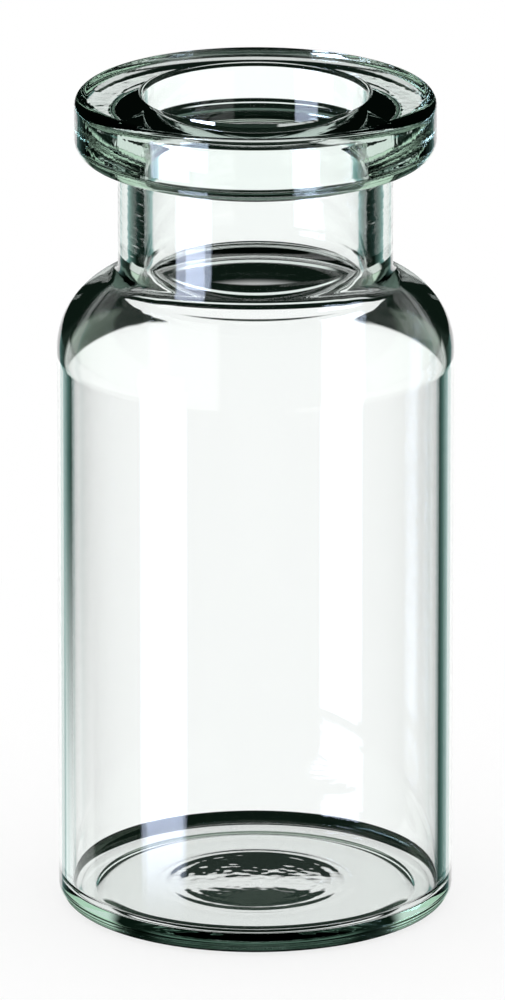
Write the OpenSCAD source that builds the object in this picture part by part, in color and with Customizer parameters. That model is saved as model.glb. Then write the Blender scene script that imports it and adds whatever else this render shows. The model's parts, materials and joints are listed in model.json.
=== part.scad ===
// Clear glass sample vial with a crimp neck: one piece of rolled tube glass,
// drawn as the section of its wall and turned about Z.  Millimetres, +Z up,
// origin at the centre of the flat ring that the vial stands on.

/* [Overall] */
// Height from the standing ring to the sealing face
vial_h = 46.5; // [42:0.5:60]
// Outside diameter of the body
body_d = 22; // [21:0.1:24]

/* [Wall] */
// Thickness of the body wall
wall_t = 0.8; // [0.6:0.05:1.2]
// Thickness of the floor over the standing ring
floor_t = 1.05; // [0.8:0.05:1.8]

/* [Heel and floor] */
// Outside radius where the body turns into the standing ring
heel_r = 1; // [0.6:0.05:1.5]
// Inside radius where the wall turns into the flat floor
heel_in_r = 0.65; // [0.4:0.05:2]
// Width of the flat ring that the vial stands on
stand_w = 1; // [0.5:0.05:1.2]
// Radius at the inner edge of the standing ring
stand_in_r = 0.4; // [0.3:0.05:0.8]
// Width over which the underside climbs from the ring to its flat recess
recess_turn_w = 1; // [0.7:0.05:1.4]
// Height of the recess above the standing ring
recess_h = 0.15; // [0.1:0.01:0.2]
// Radius at the foot of the push-up in the middle of the recess
push_up_r = 6; // [4.5:0.1:6.2]
// Rise of the push-up above the recess
push_up_h = 0.4; // [0.2:0.02:0.5]
// Radius of the turn from the recess up into the push-up
push_up_turn_r = 15.2; // [8:0.1:18]

/* [Shoulder] */
// Outside radius of the round shoulder
shoulder_r = 4.3; // [3.6:0.1:5]
// Radius of the hollow outside, where the shoulder turns up into the neck
neck_turn_r = 1; // [0.6:0.1:1.8]
// Inside radius of the round shoulder
shoulder_in_r = 4.1; // [3.2:0.05:4.3]
// How much lower the shoulder starts on the inside than on the outside
shoulder_in_drop = 0.65; // [0.3:0.05:0.9]
// Radius of the inside turn from the shoulder up into the bore
neck_turn_in_r = 2.7; // [1.8:0.1:4]

/* [Neck] */
// Outside diameter of the neck
neck_d = 15.2; // [14.6:0.1:16.4]
// Diameter of the bore
bore_d = 12.35; // [11.6:0.05:13]
// Height from the foot of the straight neck to the sealing face
neck_h = 9.7; // [7.5:0.1:12]

/* [Crimp rim] */
// Outside diameter of the rim
rim_d = 20; // [18.5:0.1:20.8]
// Height of the rim from its underside to the sealing face
rim_h = 3.6; // [3:0.1:4.4]
// Radius of the rim's top outer edge
rim_top_r = 0.7; // [0.3:0.05:1]
// Radius of the rim's lower outer edge
rim_low_r = 1.1; // [0.3:0.05:1.4]
// Radius of the hollow between the neck and the rim's underside
rim_hollow_r = 0.6; // [0.2:0.1:1]
// Radius of the rounded edge at the mouth
mouth_r = 0.3; // [0.2:0.05:0.7]

/* [Hidden] */
$fn = 256;

body_r = body_d / 2;
body_in_r = body_r - wall_t;
neck_r = neck_d / 2;
bore_r = bore_d / 2;
rim_r = rim_d / 2;
rim_z = vial_h - rim_h;
// How far the hollow sections run out past the mouth and the underside
overrun = 1;

// Height from the centre of a shoulder arc to the centre of the arc that turns
// it up into a neck: the arcs touch each other, and the turn touches the neck
function turn_rise(body, shoulder, neck, turn) =
    sqrt(pow(shoulder + turn, 2) - pow(neck + turn - (body - shoulder), 2));

// The shoulder arcs start as far below the foot of the neck as they need to
shoulder_z = vial_h - neck_h - turn_rise(body_r, shoulder_r, neck_r, neck_turn_r);
shoulder_in_z = shoulder_z - shoulder_in_drop;

// Sum of the radii of two arcs that touch each other and step down by h over a
// width w: first a crown, level at its top, then a trough, level at its bottom
function step_radii(w, h) = (w * w + h * h) / (2 * h);

// Half section of the space under such a step, which falls from z0 at x0 to z1
// at x1.  The arcs meet on the line between their centres.
module under_step(x0, z0, crown, x1, z1, trough) {
    low = [x0, z0 - crown];
    high = [x1, z1 + trough];
    intersection() {
        translate(low) circle(crown);
        polygon([low, high, [x0, high[1]]]);
    }
    difference() {
        polygon([low, high, [x1, low[1]]]);
        translate(high) circle(trough);
    }
}

// Half section of a round column between two heights
module column(r, z0, z1) {
    translate([0, z0]) square([r, z1 - z0]);
}

// Half section of the same with a rounded lower edge
module footed_column(r, corner, z0, z1) {
    column(r - corner, z0, z0 + corner);
    translate([r - corner, z0 + corner]) circle(corner);
    column(r, z0 + corner, z1);
}

// Half section of a shoulder whose arc starts at z, and of the arc that turns
// it up into a neck
module shoulder_turn(body, shoulder, neck, turn, z) {
    turn_x = neck + turn;
    turn_z = z + turn_rise(body, shoulder, neck, turn);
    intersection() {
        translate([body - shoulder, z]) circle(shoulder);
        column(body, z, z + shoulder);
    }
    difference() {
        polygon([[body - shoulder, z], [turn_x, turn_z], [0, turn_z], [0, z]]);
        translate([turn_x, turn_z]) circle(turn);
    }
}

// Half section of a corner that flares from radius r outwards, up to the
// height z of the face that it meets
module flare(r, fillet, z) {
    difference() {
        translate([r, z - fillet]) square(fillet);
        translate([r + fillet, z - fillet]) circle(fillet);
    }
}

// Half section of the crimp rim
module rim_section() {
    column(rim_r - rim_top_r, rim_z + rim_low_r, vial_h);
    column(rim_r, rim_z + rim_low_r, vial_h - rim_top_r);
    column(rim_r - rim_low_r, rim_z, rim_z + rim_low_r);
    translate([rim_r - rim_top_r, vial_h - rim_top_r]) circle(rim_top_r);
    translate([rim_r - rim_low_r, rim_z + rim_low_r]) circle(rim_low_r);
    flare(neck_r, rim_hollow_r, rim_z);
}

// Half section of the space under the vial: the push-up in the middle, the flat
// recess round it, and the turn down to the standing ring
module underside_section() {
    ring_x = body_r - heel_r - stand_w;
    recess_x = ring_x - recess_turn_w;
    under_step(0, recess_h + push_up_h, step_radii(push_up_r, push_up_h) - push_up_turn_r,
        push_up_r, recess_h, push_up_turn_r);
    translate([push_up_r, -overrun]) square([recess_x - push_up_r, recess_h + overrun]);
    under_step(recess_x, recess_h, step_radii(recess_turn_w, recess_h) - stand_in_r,
        ring_x, 0, stand_in_r);
}

// Half section of the outside, filled to the axis
module outside_section() {
    difference() {
        footed_column(body_r, heel_r, 0, shoulder_z);
        underside_section();
    }
    shoulder_turn(body_r, shoulder_r, neck_r, neck_turn_r, shoulder_z);
    column(neck_r, shoulder_z, rim_z);
    rim_section();
}

// Half section of the space inside, from the floor out through the mouth
module inside_section() {
    footed_column(body_in_r, heel_in_r, floor_t, shoulder_in_z);
    shoulder_turn(body_in_r, shoulder_in_r, bore_r, neck_turn_in_r, shoulder_in_z);
    column(bore_r, shoulder_in_z, vial_h + overrun);
    flare(bore_r, mouth_r, vial_h);
    column(bore_r + mouth_r, vial_h, vial_h + overrun);
}

// The vial, as the wall between the two sections
module vial() {
    color([0.84, 0.94, 0.91, 0.45])
        rotate_extrude()
            difference() {
                outside_section();
                inside_section();
            }
}

vial();
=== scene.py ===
"""Looks of a clear glass sample vial: its wall turned from one section, its glass, and a pale studio.

All lengths are in metres unless a name says mm.
"""
import json
import math

import bmesh
import bpy
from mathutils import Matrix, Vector


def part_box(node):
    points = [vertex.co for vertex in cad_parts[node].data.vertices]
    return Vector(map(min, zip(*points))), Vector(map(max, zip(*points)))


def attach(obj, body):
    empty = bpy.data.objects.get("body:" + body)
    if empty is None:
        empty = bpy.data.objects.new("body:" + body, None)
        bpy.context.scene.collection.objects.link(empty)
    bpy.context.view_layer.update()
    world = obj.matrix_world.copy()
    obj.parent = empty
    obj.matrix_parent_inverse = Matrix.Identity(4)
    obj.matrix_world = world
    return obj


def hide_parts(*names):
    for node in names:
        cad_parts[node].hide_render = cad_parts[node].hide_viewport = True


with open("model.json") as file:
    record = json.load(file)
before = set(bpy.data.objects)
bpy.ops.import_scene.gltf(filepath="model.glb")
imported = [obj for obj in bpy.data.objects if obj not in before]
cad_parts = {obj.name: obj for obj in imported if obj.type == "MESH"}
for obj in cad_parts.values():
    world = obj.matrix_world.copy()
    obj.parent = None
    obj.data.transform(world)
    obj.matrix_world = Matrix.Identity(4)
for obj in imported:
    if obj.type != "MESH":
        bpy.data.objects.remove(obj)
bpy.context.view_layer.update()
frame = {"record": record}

MM = 0.001

# ---------------------------------------------------------------- sizes
MOUNTS = {m["name"]: m for m in frame["record"]["mounts"]}
VIAL_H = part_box("vial")[1].z
BODY_R = MOUNTS["body"]["dims"]["r_mm"] * MM
RIM_R = MOUNTS["crimp_rim"]["dims"]["r_mm"] * MM
BORE_R = MOUNTS["mouth_bore"]["dims"]["r_mm"] * MM

WALL_T = 0.8 * MM
FLOOR_T = 1.05 * MM
HEEL_R = 1.0 * MM
HEEL_IN_R = 0.65 * MM
STAND_W = 1.0 * MM
STAND_IN_R = 0.4 * MM
RECESS_TURN_W = 1.0 * MM
RECESS_H = 0.15 * MM
PUSH_UP_R = 6.0 * MM
PUSH_UP_H = 0.4 * MM
PUSH_UP_TURN_R = 15.2 * MM
SHOULDER_R = 4.3 * MM
NECK_TURN_R = 1.0 * MM
SHOULDER_IN_R = 4.1 * MM
SHOULDER_IN_DROP = 0.65 * MM
NECK_TURN_IN_R = 2.7 * MM
NECK_R = 7.6 * MM
NECK_H = 9.7 * MM
RIM_H = 3.6 * MM
RIM_TOP_R = 0.7 * MM
RIM_LOW_R = 1.1 * MM
RIM_HOLLOW_R = 0.6 * MM
MOUTH_R = 0.3 * MM
NECK_Z = VIAL_H - NECK_H          # foot of the straight neck
RIM_Z = VIAL_H - RIM_H            # underside of the rim

AROUND = 256          # steps of the full turn
ARC_STEP = 3.0        # degrees of arc to a step of the section
PUSH_UP_STEPS = 24    # steps of each long arc of the push-up
RECESS_STEPS = 12     # steps of each arc between the recess and the standing ring
HOLD = 0.05 * MM      # length of the short edges that keep smooth shading off the straight walls
MAX_HOLD_SHARE = 0.2  # and the most that one of them takes of its wall
MERGE = 0.0005 * MM   # points closer than this become one

# depth of the marks that shaping leaves in the glass
WRINKLE_DEPTH = 0.03 * MM
WRINKLE_DEPTH_BEHIND = 0.08 * MM
RING_DEPTH = 0.006 * MM
RING_PITCH = 0.75 * MM
SHOULDER_DEPTH = 0.014 * MM
NECK_DEPTH = 0.014 * MM
RIM_DEPTH = 0.012 * MM
HOLLOW_DEPTH = 0.03 * MM

# ---------------------------------------------------------------- node trees


class Val:
    """One output socket of a node tree; Python's operators on it add Math nodes."""

    def __init__(self, tree, socket):
        self.tree = tree
        self.socket = socket

    def math(self, operation, *others):
        values = dict(enumerate((self, *others)))
        return self.tree.node("ShaderNodeMath", {"operation": operation}, values)

    def __add__(self, other):
        return self.math("ADD", other)

    def __sub__(self, other):
        return self.math("SUBTRACT", other)

    def __rsub__(self, other):
        return self.tree.node("ShaderNodeMath", {"operation": "SUBTRACT"}, {0: other, 1: self})

    def __mul__(self, other):
        return self.math("MULTIPLY", other)

    def __truediv__(self, other):
        return self.math("DIVIDE", other)

    def __gt__(self, other):
        return self.math("GREATER_THAN", other)

    __radd__ = __add__
    __rmul__ = __mul__

    def step(self, low, high):
        """0 below low and 1 above high, with a smooth climb between them."""
        return self.tree.node(
            "ShaderNodeMapRange",
            {"interpolation_type": "SMOOTHSTEP"},
            {"Value": self, "From Min": low, "From Max": high},
        )

    def band(self, low, full, still_full, high):
        """1 from full to still_full, with a smooth climb up from low and down again to high."""
        return self.step(low, full) * (1 - self.step(still_full, high))


class Tree:
    """The node tree of a material or a world, filled from empty."""

    def __init__(self, owner):
        owner.use_nodes = True
        self.tree = owner.node_tree
        self.tree.nodes.clear()

    def node(self, kind, settings=None, inputs=None, output=0):
        """Adds a node, sets its settings and then its inputs, and returns one of its outputs."""
        made = self.tree.nodes.new(kind)
        for name, value in (settings or {}).items():
            setattr(made, name, value)
        for name, value in (inputs or {}).items():
            if isinstance(value, Val):
                self.tree.links.new(value.socket, made.inputs[name])
            else:
                made.inputs[name].default_value = value
        return Val(self, made.outputs[output]) if made.outputs else None

    def ramp(self, value, stops):
        """A colour that follows value through (place, colour) stops."""
        colour = self.node("ShaderNodeValToRGB", inputs={0: value})
        elements = colour.socket.node.color_ramp.elements
        elements.remove(elements[0])
        for i, (place, shade) in enumerate(stops):
            element = elements[0] if i == 0 else elements.new(place)
            element.position = place
            element.color = (*shade, 1)
        return colour

    def add_light(self, total, colour, strength):
        """Colour times strength on top of a total of light."""
        lit = self.node("ShaderNodeVectorMath", {"operation": "SCALE"}, {0: colour, "Scale": strength})
        return self.node("ShaderNodeVectorMath", {"operation": "ADD"}, {0: total, 1: lit})


# ---------------------------------------------------------------- glass wall


def turn_angle(body, shoulder, neck, turn):
    """Angle above the horizontal of the line from a shoulder arc's centre to its neck turn's centre."""
    return math.acos((neck + turn - (body - shoulder)) / (shoulder + turn))


def step_radii(width, fall):
    """Sum of the radii of two touching arcs, level at both ends, that step down by fall over width."""
    return (width * width + fall * fall) / (2 * fall)


class Section:
    """A half section drawn in the XZ plane, point by point, as a chain of edges."""

    def __init__(self, x, z):
        self.bm = bmesh.new()
        self.tip = self.bm.verts.new((x, 0, z))

    def line(self, x, z):
        """A straight edge, split close to both ends so that the arcs' smooth shading stays off it."""
        start, end = self.tip.co.copy(), Vector((x, 0, z))
        hold = min(HOLD / (end - start).length, MAX_HOLD_SHARE)
        for share in (hold, 1 - hold, 1):
            point = self.bm.verts.new(start.lerp(end, share))
            self.bm.edges.new((self.tip, point))
            self.tip = point

    def arc(self, x, z, degrees, steps=None):
        """Turns the last point about (x, z); positive angles turn it clockwise, from +Z towards +X."""
        steps = steps or max(3, math.ceil(abs(degrees) / ARC_STEP))
        turned = bmesh.ops.spin(
            self.bm, geom=[self.tip], cent=(x, 0, z), axis=(0, 1, 0),
            angle=math.radians(degrees), steps=steps,
        )
        self.tip = next(e for e in turned["geom_last"] if isinstance(e, bmesh.types.BMVert))


def draw_section():
    """The wall of the vial, from the middle of its underside round to the middle of its inside floor."""
    out_angle = turn_angle(BODY_R, SHOULDER_R, NECK_R, NECK_TURN_R)
    shoulder_z = NECK_Z - (SHOULDER_R + NECK_TURN_R) * math.sin(out_angle)
    body_in_r = BODY_R - WALL_T
    in_angle = turn_angle(body_in_r, SHOULDER_IN_R, BORE_R, NECK_TURN_IN_R)
    shoulder_in_z = shoulder_z - SHOULDER_IN_DROP
    neck_in_foot_z = shoulder_in_z + (SHOULDER_IN_R + NECK_TURN_IN_R) * math.sin(in_angle)

    crown_r = step_radii(PUSH_UP_R, PUSH_UP_H) - PUSH_UP_TURN_R
    push_up_angle = math.degrees(math.asin(PUSH_UP_R / (crown_r + PUSH_UP_TURN_R)))
    ring_x = BODY_R - HEEL_R - STAND_W
    recess_x = ring_x - RECESS_TURN_W
    recess_turn_r = step_radii(RECESS_TURN_W, RECESS_H) - STAND_IN_R
    recess_angle = math.degrees(math.asin(RECESS_TURN_W / (recess_turn_r + STAND_IN_R)))

    pen = Section(0, RECESS_H + PUSH_UP_H)
    pen.arc(0, RECESS_H + PUSH_UP_H - crown_r, push_up_angle, PUSH_UP_STEPS)
    pen.arc(PUSH_UP_R, RECESS_H + PUSH_UP_TURN_R, -push_up_angle, PUSH_UP_STEPS)
    pen.line(recess_x, RECESS_H)
    pen.arc(recess_x, RECESS_H - recess_turn_r, recess_angle, RECESS_STEPS)
    pen.arc(ring_x, STAND_IN_R, -recess_angle, RECESS_STEPS)
    pen.line(BODY_R - HEEL_R, 0)
    pen.arc(BODY_R - HEEL_R, HEEL_R, -90)
    pen.line(BODY_R, shoulder_z)
    pen.arc(BODY_R - SHOULDER_R, shoulder_z, -math.degrees(out_angle))
    pen.arc(NECK_R + NECK_TURN_R, NECK_Z, math.degrees(out_angle))
    pen.line(NECK_R, RIM_Z - RIM_HOLLOW_R)
    pen.arc(NECK_R + RIM_HOLLOW_R, RIM_Z - RIM_HOLLOW_R, 90)
    pen.line(RIM_R - RIM_LOW_R, RIM_Z)
    pen.arc(RIM_R - RIM_LOW_R, RIM_Z + RIM_LOW_R, -90)
    pen.line(RIM_R, VIAL_H - RIM_TOP_R)
    pen.arc(RIM_R - RIM_TOP_R, VIAL_H - RIM_TOP_R, -90)
    pen.line(BORE_R + MOUTH_R, VIAL_H)
    pen.arc(BORE_R + MOUTH_R, VIAL_H - MOUTH_R, -90)
    pen.line(BORE_R, neck_in_foot_z)
    pen.arc(BORE_R + NECK_TURN_IN_R, neck_in_foot_z, -math.degrees(in_angle))
    pen.arc(body_in_r - SHOULDER_IN_R, shoulder_in_z, math.degrees(in_angle))
    pen.line(body_in_r, FLOOR_T + HEEL_IN_R)
    pen.arc(body_in_r - HEEL_IN_R, FLOOR_T + HEEL_IN_R, 90)
    pen.line(0, FLOOR_T)
    return pen.bm


def put_in_order(points, elements):
    """Sorts edges or faces by their points, because spin makes them in another order each time."""
    points.index_update()
    ordered = sorted(elements, key=lambda element: sorted(point.index for point in element.verts))
    for place, element in enumerate(ordered):
        element.index = place
    elements.sort()


def turn_vial():
    """The vial's mesh: the section spun once round the Z axis."""
    bm = draw_section()
    bmesh.ops.spin(
        bm, geom=bm.verts[:] + bm.edges[:], cent=(0, 0, 0), axis=(0, 0, 1),
        angle=math.tau, steps=AROUND, use_merge=True,
    )
    bmesh.ops.remove_doubles(bm, verts=bm.verts, dist=MERGE)
    bmesh.ops.recalc_face_normals(bm, faces=bm.faces)
    put_in_order(bm.verts, bm.edges)
    put_in_order(bm.verts, bm.faces)
    for face in bm.faces:
        face.smooth = True
    mesh = bpy.data.meshes.new("glass_vial")
    bm.to_mesh(mesh)
    bm.free()
    piece = bpy.data.objects.new("glass_vial", mesh)
    bpy.context.scene.collection.objects.link(piece)
    return piece


def uneven(t, place, across, along, seed):
    """Noise about zero, whose marks are as wide as across and as tall as along."""
    scale = (1 / across, 1 / across, 1 / along)
    stretched = t.node("ShaderNodeVectorMath", {"operation": "MULTIPLY"}, {0: place, 1: scale})
    moved = t.node("ShaderNodeVectorMath", {"operation": "ADD"}, {0: stretched, 1: (seed, 0, 0)})
    return t.node("ShaderNodeTexNoise", inputs={"Vector": moved, "Scale": 1.0, "Detail": 1.0}) - 0.5


def floor_marks(t, place, y, z, r):
    """Wrinkles in the middle of the underside, deeper in its back half, and faint rings."""
    behind = y.step(-1 * MM, 1.5 * MM)
    depth = behind * (WRINKLE_DEPTH_BEHIND - WRINKLE_DEPTH) + WRINKLE_DEPTH
    wrinkles = uneven(t, place, 1 * MM, 1 * MM, 3) * depth * (1 - r.step(3 * MM, 5.5 * MM))
    waves = (r * (math.tau / RING_PITCH)).math("SINE") * RING_DEPTH
    rings = waves * r.band(2.8 * MM, 4 * MM, 4.9 * MM, 5.8 * MM)
    underside = 1 - z.step(0.8 * MM, 0.95 * MM)
    return (wrinkles + rings) * underside


def shoulder_marks(t, place, aside, z, r):
    """Unevenness where the shoulder turns up into the neck, at the vial's two sides."""
    bend = z.band(NECK_Z - 3.8 * MM, NECK_Z - 1 * MM, NECK_Z, NECK_Z + 1.5 * MM)
    where = bend * (1 - r.step(8 * MM, 8.8 * MM)) * aside.step(3 * MM, 5 * MM)
    return uneven(t, place, 1.5 * MM, 1.2 * MM, 11) * where * SHOULDER_DEPTH


def neck_marks(t, place, sides, z, outside):
    """Ripples, wide and low, down the outside of the straight neck."""
    straight = z.band(NECK_Z - 1 * MM, NECK_Z, RIM_Z - 0.8 * MM, RIM_Z - 0.3 * MM)
    where = straight * outside * sides
    return uneven(t, place, 2.5 * MM, 0.4 * MM, 23) * where * NECK_DEPTH


def rim_marks(t, place, sides, z, r):
    """Streaks, narrow and tall, that the shaping roller leaves in the edge of the rim."""
    edge = r.step(RIM_R - 0.5 * MM, RIM_R - 0.2 * MM) * z.step(RIM_Z, RIM_Z + 0.5 * MM)
    return uneven(t, place, 0.25 * MM, 0.8 * MM, 37) * edge * sides * RIM_DEPTH


def hollow_marks(t, place, aside, z, outside):
    """Unevenness of the hollow between the neck and the underside of the rim."""
    under = z.band(RIM_Z - 0.9 * MM, RIM_Z - 0.6 * MM, RIM_Z + 0.2 * MM, RIM_Z + 0.4 * MM)
    where = under * outside * aside.step(4.5 * MM, 6 * MM)
    return uneven(t, place, 0.9 * MM, 0.9 * MM, 51) * where * HOLLOW_DEPTH


def forming_marks(t):
    """The slight unevenness that shaping leaves in hot glass, as a bump of the smooth surface."""
    place = t.node("ShaderNodeTexCoord", output="Object")
    x, y, z = (t.node("ShaderNodeSeparateXYZ", inputs={0: place}, output=i) for i in range(3))
    flat = t.node("ShaderNodeVectorMath", {"operation": "MULTIPLY"}, {0: place, 1: (1, 1, 0)})
    r = t.node("ShaderNodeVectorMath", {"operation": "LENGTH"}, {0: flat}, output="Value")
    aside = x.math("ABSOLUTE")
    sides = aside.step(5.4 * MM, 6.6 * MM)
    outside = r.step(NECK_R - 0.6 * MM, NECK_R - 0.2 * MM)

    height = floor_marks(t, place, y, z, r)
    height = height + shoulder_marks(t, place, aside, z, r)
    height = height + neck_marks(t, place, sides, z, outside)
    height = height + rim_marks(t, place, sides, z, r)
    height = height + hollow_marks(t, place, aside, z, outside)
    return t.node("ShaderNodeBump", inputs={"Height": height, "Distance": 1.0, "Strength": 1.0})


def clear_glass():
    """Clear laboratory glass, with a faint green tint where the light runs far inside it."""
    material = bpy.data.materials.new("clear_glass")
    t = Tree(material)
    surface = t.node("ShaderNodeBsdfPrincipled", inputs={
        "Base Color": (1, 1, 1, 1),
        "Roughness": 0.0,
        "IOR": 1.49,
        "Transmission Weight": 1.0,
        "Normal": forming_marks(t),
    })
    tint = t.node("ShaderNodeVolumeAbsorption", inputs={
        "Color": (0.2, 0.95, 0.62, 1),
        "Density": 17.0,
    })
    t.node("ShaderNodeOutputMaterial", inputs={"Surface": surface, "Volume": tint})
    return material


# ---------------------------------------------------------------- studio


def azimuth_from(sight, azimuth):
    """Degrees, either way, between the ray and an azimuth that is turned from +Y towards +X."""
    a = math.radians(azimuth)
    x, y, z = sight
    across = x * math.cos(a) - y * math.sin(a)
    ahead = x * math.sin(a) + y * math.cos(a)
    return across.math("ARCTAN2", ahead).math("ABSOLUTE") * math.degrees(1)


def elevation_of(sight):
    """Degrees that the ray climbs above the level."""
    return sight[2].math("ARCSINE") * math.degrees(1)


def window(sight, azimuth, half_width, low, high, soft, fade):
    """1 where the ray lies in a window of the studio, and 0 outside it, with soft edges."""
    across = azimuth_from(sight, azimuth)
    inside = 1 - across.step(half_width - soft / 2, half_width + soft / 2)
    rise = elevation_of(sight)
    return inside * rise.band(low - fade / 2, low + fade / 2, high - fade / 2, high + fade / 2)


# Windows of the studio, in degrees: azimuth, half width, lowest and highest elevation,
# softness of the sides, softness of the top and foot; then strength and colour.
# LIGHTS are also mirrored on the outside of the glass.
LIGHTS = (
    ("softbox", -123.5, 13.5, -18.6, 14, 3, 0.6, 11.0, (0.68, 0.77, 1.0)),
)
# BACKDROPS show only through the glass.
BACKDROPS = (
    ("level strip", 0, 7, -3.9, -1.8, 3, 0.4, 1.0, (0.95, 1, 0.98)),
    ("upper strip", 0, 22, 11, 30, 8, 4, 0.16, (0.7, 1, 0.85)),
    ("ceiling", 0, 14, 38, 72, 4, 4, 0.5, (0.9, 1, 0.9)),
    ("low left", -34, 17, -45, -28, 4, 4, 0.9, (1, 1, 1)),
    ("low right", 34, 17, -45, -28, 4, 4, 0.9, (1, 1, 1)),
    ("table edge", 0, 60, -64, -50, 3, 3, 0.9, (1, 1, 1)),
    ("left card", -75, 42, -14.3, 5, 6, 1.2, 0.8, (0.95, 1, 0.96)),
    ("right card", 75, 42, -14.3, 5, 6, 1.2, 0.8, (0.95, 1, 0.96)),
    ("left reflector", -70, 35, 6, 32, 6, 4, 0.75, (0.8, 1, 0.82)),
    ("right reflector", 70, 35, 6, 32, 6, 4, 0.75, (0.8, 1, 0.82)),
    ("near right", -45, 20, -28, -18, 4, 2, 1.1, (1, 1, 1)),
    ("far right", -90, 20, -5, -1, 4, 2, 0.25, (1, 1, 1)),
    ("near left", 135, 22, -15.9, -7, 4, 0.5, 1.0, (1, 1, 1)),
)

# The pale wall behind: where its foot and its top fade, and how bright it is
BACK_FOOT = (-25.5, -23.5)
BACK_TOP = (-10.4, -8.8)
BACK_STRENGTH = 1.1
# its colour at so many degrees to either side of its middle
BACK_FALL = (
    (0.0, (1, 1, 1)),
    (21.0, (1, 1, 1)),
    (23.0, (0.28, 0.46, 0.45)),
    (26.0, (0.13, 0.26, 0.25)),
    (30.0, (0.08, 0.16, 0.14)),
    (34.0, (0.04, 0.08, 0.07)),
    (42.0, (0.0, 0.0, 0.0)),
)
RAMP_SPAN = 60.0      # degrees that the colour ramp of the wall covers
DARK = (0.004, 0.009, 0.006)      # the unlit rest of the studio
PLAIN = (1.05, 1.05, 1.05)        # what lights the floor
WHITE = (1.0, 1.0, 1.0)           # what the camera sees behind the vial


def add_windows(t, studio, sight, windows, seen):
    """The windows on top of the studio's light, each as far as it is seen."""
    for name, azimuth, half_width, low, high, soft, fade, strength, colour in windows:
        share = window(sight, azimuth, half_width, low, high, soft, fade) * seen
        studio = t.add_light(studio, Vector(colour) * strength, share)
    return studio


def light_studio():
    """White for the camera, plain light for the floor, and the studio for the glass."""
    world = bpy.data.worlds.new("studio")
    bpy.context.scene.world = world
    t = Tree(world)
    direction = t.node("ShaderNodeTexCoord", output="Generated")
    sight = [t.node("ShaderNodeSeparateXYZ", inputs={0: direction}, output=i) for i in range(3)]
    for_camera, mirrored, bent, depth = (t.node("ShaderNodeLightPath", output=name) for name in (
        "Is Camera Ray", "Is Glossy Ray", "Is Transmission Ray", "Diffuse Depth"))

    stops = [(turn / RAMP_SPAN, colour) for turn, colour in BACK_FALL]
    fall = t.ramp(azimuth_from(sight, 0) / RAMP_SPAN, stops)
    back = elevation_of(sight).band(*BACK_FOOT, *BACK_TOP) * BACK_STRENGTH
    dark, plain, white = (
        t.node("ShaderNodeCombineXYZ", inputs=dict(enumerate(colour))) for colour in (DARK, PLAIN, WHITE))
    studio = t.add_light(dark, fall, back)
    studio = add_windows(t, studio, sight, LIGHTS, 1.0)
    studio = add_windows(t, studio, sight, BACKDROPS, bent)

    # the floor gets plain light through the glass too, so that no window shows on it
    by_glass = (mirrored + bent) * (1 - (depth > 0.5))
    mix = {"data_type": "VECTOR"}
    seen = t.node("ShaderNodeMix", mix, {0: by_glass, 4: plain, 5: studio}, output=1)
    seen = t.node("ShaderNodeMix", mix, {0: for_camera, 4: seen, 5: white}, output=1)
    backdrop = t.node("ShaderNodeBackground", inputs={"Color": seen, "Strength": 1.0})
    t.node("ShaderNodeOutputWorld", inputs={"Surface": backdrop})


FLOOR_R = 3.0                     # metres
FLOOR_GAP = 0.02 * MM             # keeps the floor clear of the standing ring
PLAIN_SHARE = 0.7                 # of the floor's white, what takes no shadow near the vial
SHADOW_FADE = (10 * MM, 60 * MM)  # over these distances the rest turns plain too


def lay_floor():
    """A pale floor that keeps the vial's soft shadow and turns plain white further out."""
    bm = bmesh.new()
    bmesh.ops.create_circle(bm, cap_ends=True, radius=FLOOR_R, segments=96)
    bmesh.ops.translate(bm, verts=bm.verts, vec=(0, 0, -FLOOR_GAP))
    mesh = bpy.data.meshes.new("floor")
    bm.to_mesh(mesh)
    bm.free()
    floor = bpy.data.objects.new("floor", mesh)
    bpy.context.scene.collection.objects.link(floor)

    material = bpy.data.materials.new("pale_floor")
    t = Tree(material)
    place = t.node("ShaderNodeTexCoord", output="Object")
    away = t.node("ShaderNodeVectorMath", {"operation": "LENGTH"}, {0: place}, output="Value")
    matt = t.node("ShaderNodeBsdfDiffuse", inputs={"Color": (0.98, 0.98, 0.98, 1)})
    plain = t.node("ShaderNodeEmission", inputs={"Color": (1, 1, 1, 1), "Strength": 1.0})
    share = away.step(*SHADOW_FADE) * (1 - PLAIN_SHARE) + PLAIN_SHARE
    surface = t.node("ShaderNodeMixShader", inputs={0: share, 1: matt, 2: plain})
    t.node("ShaderNodeOutputMaterial", inputs={"Surface": surface})
    mesh.materials.append(material)
    floor.visible_glossy = False
    floor.visible_transmission = False


def set_camera():
    """A long lens that looks down on the vial from the front."""
    away = 800 * MM
    elevation = math.radians(17.2)
    seen_h = 55.5 * MM          # height of the frame at the vial
    aim = Vector((-0.165 * MM, 0, VIAL_H / 2 - 0.22 * MM))
    back = Vector((0, -math.cos(elevation), math.sin(elevation)))
    camera = bpy.data.objects.new("camera", bpy.data.cameras.new("camera"))
    camera.location = aim + back * away
    camera.rotation_mode = "QUATERNION"
    camera.rotation_quaternion = (-back).to_track_quat("-Z", "Y")
    camera.data.lens = camera.data.sensor_width * away / seen_h
    camera.data.clip_start = 0.01
    camera.data.clip_end = 10
    bpy.context.scene.collection.objects.link(camera)
    bpy.context.scene.camera = camera


# ---------------------------------------------------------------- the scene

set_camera()
light_studio()
lay_floor()

vial = turn_vial()
vial.data.materials.append(clear_glass())
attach(vial, "root")
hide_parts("vial")

settings = bpy.context.scene.view_settings
settings.view_transform = "Standard"
